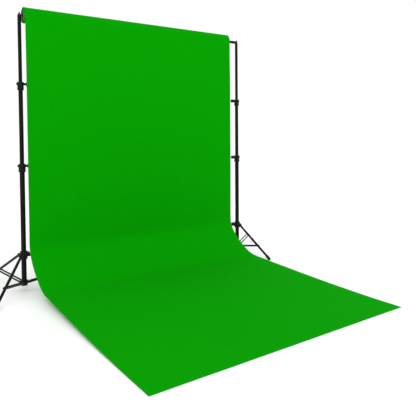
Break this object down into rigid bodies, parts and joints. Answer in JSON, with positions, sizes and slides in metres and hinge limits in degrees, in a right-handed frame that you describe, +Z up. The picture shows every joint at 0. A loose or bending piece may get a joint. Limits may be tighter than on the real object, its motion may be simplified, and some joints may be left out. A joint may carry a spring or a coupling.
{
  "type": "background support system",
  "caption": "Backdrop support: telescopic stands with folding tripod bases carry a crossbar and a green seamless backdrop on a roll.",
  "frame": {"origin": "on the floor, at the middle of the whole object's footprint: halfway between the outermost feet in X, and halfway from the backdrop's front edge to the rearmost foot in Y", "axes": "+Z up, X along the crossbar, -Y towards the backdrop's front edge"},
  "size_m": [2.6992, 2.2884, 2.056],
  "materials": {
    "tube": "black satin anodised aluminium tube",
    "casting": "black glass-filled nylon moulding, fine grain",
    "knob": "black moulded hand knob",
    "strip": "black painted steel strip",
    "rubber": "matt black rubber",
    "steel": "black zinc-plated steel",
    "bush": "dark grey acetal",
    "core": "spiral-wound board tube",
    "backdrop": "matt chroma green close-woven cloth, stiff backing"
  },
  "bodies": {
    "root": {"left_bottom_tube": "tube", "left_leg_hub": "casting", "left_hub_pins": "steel", "left_lower_clamp": "casting", "right_bottom_tube": "tube", "right_leg_hub": "casting", "right_hub_pins": "steel", "right_lower_clamp": "casting", "backdrop_hang": "backdrop", "backdrop_sweep": "backdrop"},
    "left_middle": {"left_middle_tube": "tube", "left_middle_bush": "bush", "left_upper_clamp": "casting"},
    "left_top": {"left_top_tube": "tube", "left_top_bush": "bush", "left_top_stud": "steel", "crossbar_left": "tube", "crossbar_centre": "tube", "crossbar_right": "tube"},
    "left_lower_screw": {"left_lower_knob": "knob"},
    "left_upper_screw": {"left_upper_knob": "knob"},
    "left_nut": {"left_wing_nut": "steel"},
    "left_collar": {"left_leg_collar": "casting", "left_collar_pins": "steel"},
    "left_collar_screw": {"left_collar_knob": "knob"},
    "left_leg_1_and_foot": {"left_leg_1": "tube", "left_foot_1": "rubber"},
    "left_brace_1_pair": {"left_brace_1": "strip"},
    "left_leg_2_and_foot": {"left_leg_2": "tube", "left_foot_2": "rubber"},
    "left_brace_2_pair": {"left_brace_2": "strip"},
    "left_leg_3_and_foot": {"left_leg_3": "tube", "left_foot_3": "rubber"},
    "left_brace_3_pair": {"left_brace_3": "strip"},
    "right_middle": {"right_middle_tube": "tube", "right_middle_bush": "bush", "right_upper_clamp": "casting"},
    "right_top": {"right_top_tube": "tube", "right_top_bush": "bush", "right_top_stud": "steel"},
    "right_lower_screw": {"right_lower_knob": "knob"},
    "right_upper_screw": {"right_upper_knob": "knob"},
    "right_nut": {"right_wing_nut": "steel"},
    "right_collar": {"right_leg_collar": "casting", "right_collar_pins": "steel"},
    "right_collar_screw": {"right_collar_knob": "knob"},
    "right_leg_1_and_foot": {"right_leg_1": "tube", "right_foot_1": "rubber"},
    "right_brace_1_pair": {"right_brace_1": "strip"},
    "right_leg_2_and_foot": {"right_leg_2": "tube", "right_foot_2": "rubber"},
    "right_brace_2_pair": {"right_brace_2": "strip"},
    "right_leg_3_and_foot": {"right_leg_3": "tube", "right_foot_3": "rubber"},
    "right_brace_3_pair": {"right_brace_3": "strip"},
    "roll": {"core_tube": "core", "core_plugs": "bush", "backdrop_roll": "backdrop"}
  },
  "joints": [
    {"name": "left_middle_slide", "type": "slide", "parent": "root", "child": "left_middle", "axis": [0, 0, 1], "range_m": [-0.45, 0.05], "deforming": ["backdrop_hang"]},
    {"name": "left_top_slide", "type": "slide", "parent": "left_middle", "child": "left_top", "axis": [0, 0, 1], "range_m": [-0.4, 0.05], "deforming": ["backdrop_hang"]},
    {"name": "left_collar_slide", "type": "slide", "parent": "root", "child": "left_collar", "axis": [0, 0, 1], "range_m": [0, 0.367]},
    {"name": "left_leg_1_fold", "type": "hinge", "parent": "left_collar", "child": "left_leg_1_and_foot", "pos_m": [-1.07269, 0.74876, 0.255], "axis": [-0.9272, -0.3746, 0], "range_deg": [0, 55.59]},
    {"name": "left_brace_1_fold", "type": "hinge", "parent": "root", "child": "left_brace_1_pair", "pos_m": [-1.06969, 0.74134, 0.054], "axis": [0.9272, 0.3746, 0], "range_deg": [0, 73.45]},
    {"name": "left_leg_2_fold", "type": "hinge", "parent": "left_collar", "child": "left_leg_2_and_foot", "pos_m": [-1.08282, 0.67672, 0.255], "axis": [0.788, -0.6157, 0], "range_deg": [0, 55.59]},
    {"name": "left_brace_2_fold", "type": "hinge", "parent": "root", "child": "left_brace_2_pair", "pos_m": [-1.07789, 0.68302, 0.054], "axis": [-0.788, 0.6157, 0], "range_deg": [0, 73.45]},
    {"name": "left_leg_3_fold", "type": "hinge", "parent": "left_collar", "child": "left_leg_3_and_foot", "pos_m": [-1.01537, 0.70397, 0.255], "axis": [0.1392, 0.9903, 0], "range_deg": [0, 55.59]},
    {"name": "left_brace_3_fold", "type": "hinge", "parent": "root", "child": "left_brace_3_pair", "pos_m": [-1.02329, 0.70508, 0.054], "axis": [-0.1392, -0.9903, 0], "range_deg": [0, 73.45]},
    {"name": "left_collar_knob_turn", "type": "hinge", "parent": "left_collar", "child": "left_collar_screw", "pos_m": [-1.05696, 0.70982, 0.255], "axis": [0.7071, 0.7071, 0], "range_deg": [0, 360]},
    {"name": "left_lower_knob_turn", "type": "hinge", "parent": "root", "child": "left_lower_screw", "pos_m": [-1.05696, 0.70982, 0.907], "axis": [1, 0, 0], "range_deg": [0, 360]},
    {"name": "left_upper_knob_turn", "type": "hinge", "parent": "left_middle", "child": "left_upper_screw", "pos_m": [-1.05696, 0.70982, 1.502], "axis": [1, 0, 0], "range_deg": [0, 360]},
    {"name": "left_wing_nut_turn", "type": "hinge", "parent": "left_top", "child": "left_nut", "pos_m": [-1.05696, 0.70982, 2], "axis": [0, 0, 1], "range_deg": [0, 360]},
    {"name": "right_middle_slide", "type": "slide", "parent": "root", "child": "right_middle", "axis": [0, 0, 1], "range_m": [-0.45, 0.05]},
    {"name": "right_top_slide", "type": "slide", "parent": "right_middle", "child": "right_top", "axis": [0, 0, 1], "range_m": [-0.4, 0.05]},
    {"name": "right_collar_slide", "type": "slide", "parent": "root", "child": "right_collar", "axis": [0, 0, 1], "range_m": [0, 0.367]},
    {"name": "right_leg_1_fold", "type": "hinge", "parent": "right_collar", "child": "right_leg_1_and_foot", "pos_m": [0.97942, 0.73082, 0.255], "axis": [-0.5, 0.866, 0], "range_deg": [0, 55.59]},
    {"name": "right_brace_1_fold", "type": "hinge", "parent": "root", "child": "right_brace_1_pair", "pos_m": [0.97249, 0.72682, 0.054], "axis": [0.5, -0.866, 0], "range_deg": [0, 73.45]},
    {"name": "right_leg_2_fold", "type": "hinge", "parent": "right_collar", "child": "right_leg_2_and_foot", "pos_m": [0.90667, 0.73082, 0.255], "axis": [-0.5, -0.866, 0], "range_deg": [0, 55.59]},
    {"name": "right_brace_2_fold", "type": "hinge", "parent": "root", "child": "right_brace_2_pair", "pos_m": [0.9136, 0.72682, 0.054], "axis": [0.5, 0.866, 0], "range_deg": [0, 73.45]},
    {"name": "right_leg_3_fold", "type": "hinge", "parent": "right_collar", "child": "right_leg_3_and_foot", "pos_m": [0.94304, 0.66782, 0.255], "axis": [1, 0, 0], "range_deg": [0, 55.59]},
    {"name": "right_brace_3_fold", "type": "hinge", "parent": "root", "child": "right_brace_3_pair", "pos_m": [0.94304, 0.67582, 0.054], "axis": [-1, 0, 0], "range_deg": [0, 73.45]},
    {"name": "right_collar_knob_turn", "type": "hinge", "parent": "right_collar", "child": "right_collar_screw", "pos_m": [0.94304, 0.70982, 0.255], "axis": [-0.2588, 0.9659, 0], "range_deg": [0, 360]},
    {"name": "right_lower_knob_turn", "type": "hinge", "parent": "root", "child": "right_lower_screw", "pos_m": [0.94304, 0.70982, 0.907], "axis": [-1, 0, 0], "range_deg": [0, 360]},
    {"name": "right_upper_knob_turn", "type": "hinge", "parent": "right_middle", "child": "right_upper_screw", "pos_m": [0.94304, 0.70982, 1.443], "axis": [-1, 0, 0], "range_deg": [0, 360]},
    {"name": "right_wing_nut_turn", "type": "hinge", "parent": "right_top", "child": "right_nut", "pos_m": [0.94304, 0.70982, 2], "axis": [0, 0, 1], "range_deg": [0, 360]},
    {"name": "roll_turn", "type": "hinge", "parent": "left_top", "child": "roll", "pos_m": [-0.05696, 0.70982, 2], "axis": [1, 0, 0], "continuous": true}
  ],
  "couplings": [
    {"joint": "left_leg_1_fold", "follows": "left_collar_slide", "rad_per_m": 2.6432},
    {"joint": "left_brace_1_fold", "follows": "left_collar_slide", "rad_per_m": 3.4928},
    {"joint": "left_leg_2_fold", "follows": "left_collar_slide", "rad_per_m": 2.6432},
    {"joint": "left_brace_2_fold", "follows": "left_collar_slide", "rad_per_m": 3.4928},
    {"joint": "left_leg_3_fold", "follows": "left_collar_slide", "rad_per_m": 2.6432},
    {"joint": "left_brace_3_fold", "follows": "left_collar_slide", "rad_per_m": 3.4928},
    {"joint": "right_leg_1_fold", "follows": "right_collar_slide", "rad_per_m": 2.6432},
    {"joint": "right_brace_1_fold", "follows": "right_collar_slide", "rad_per_m": 3.4928},
    {"joint": "right_leg_2_fold", "follows": "right_collar_slide", "rad_per_m": 2.6432},
    {"joint": "right_brace_2_fold", "follows": "right_collar_slide", "rad_per_m": 3.4928},
    {"joint": "right_leg_3_fold", "follows": "right_collar_slide", "rad_per_m": 2.6432},
    {"joint": "right_brace_3_fold", "follows": "right_collar_slide", "rad_per_m": 3.4928},
    {"joint": "right_middle_slide", "follows": "left_middle_slide", "ratio": 1},
    {"joint": "right_top_slide", "follows": "left_top_slide", "ratio": 1}
  ]
}
